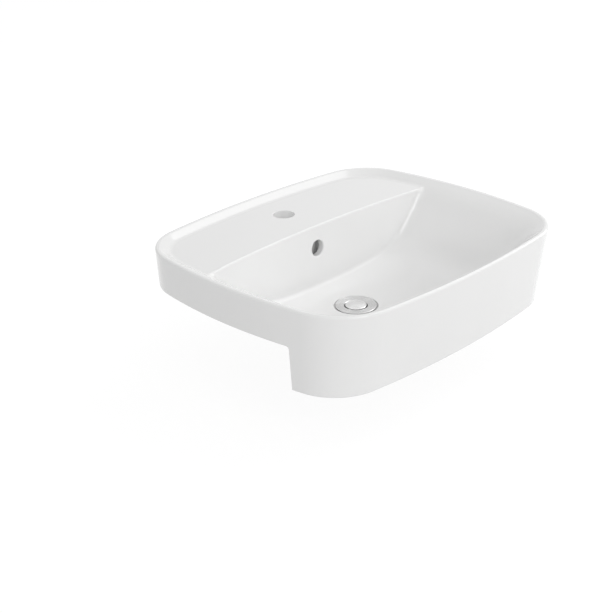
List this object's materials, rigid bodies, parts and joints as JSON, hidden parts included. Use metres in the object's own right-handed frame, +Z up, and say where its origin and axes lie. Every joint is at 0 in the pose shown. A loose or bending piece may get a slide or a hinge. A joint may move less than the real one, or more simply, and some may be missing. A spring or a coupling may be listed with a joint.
{
  "type": "semi recessed basin",
  "caption": "White ceramic semi-recessed wash basin with sunk tap deck, overflow, click plug waste and clamps to a counter; front skirt hangs before the counter.",
  "frame": {"origin": "middle of the rear seat band, on the plane of the counter top that the basin stands on", "axes": "+Z up, -Y towards the user, +X to the user's right as they face the basin"},
  "size_m": [0.5494, 0.4594, 0.2181],
  "materials": {
    "white_glaze": "glossy white glaze",
    "brushed_steel_ring": "satin",
    "cap_chrome": "bright",
    "nut_brass": "machined",
    "black_rubber": "matt",
    "black_plastic": "matt",
    "grey_plastic": "matt",
    "spring_steel": "drawn wire",
    "zinc_steel": "zinc plated"
  },
  "bodies": {
    "casting": {"basin": "white_glaze", "upper_gasket": "black_rubber", "waste_body": "brushed_steel_ring", "lower_seal": "black_rubber", "slip_washer": "black_plastic", "lock_nut": "nut_brass", "cartridge_sleeve": "grey_plastic", "cartridge_base": "grey_plastic", "cartridge_spring": "spring_steel", "latch_pin": "spring_steel", "fixing_anchors": "grey_plastic", "fixing_studs": "zinc_steel", "clamp_claws": "zinc_steel", "claw_pads": "black_plastic", "clamp_washers": "zinc_steel", "wing_nuts": "zinc_steel"},
    "plug": {"plug_cap": "cap_chrome", "plug_seal": "black_rubber", "plug_stem": "nut_brass", "cartridge_piston": "grey_plastic"}
  },
  "joints": [
    {"name": "plug_slide", "type": "slide", "parent": "casting", "child": "plug", "axis": [0, 0, 1], "range_m": [0, 0.008], "deforming": ["cartridge_spring"]}
  ]
}
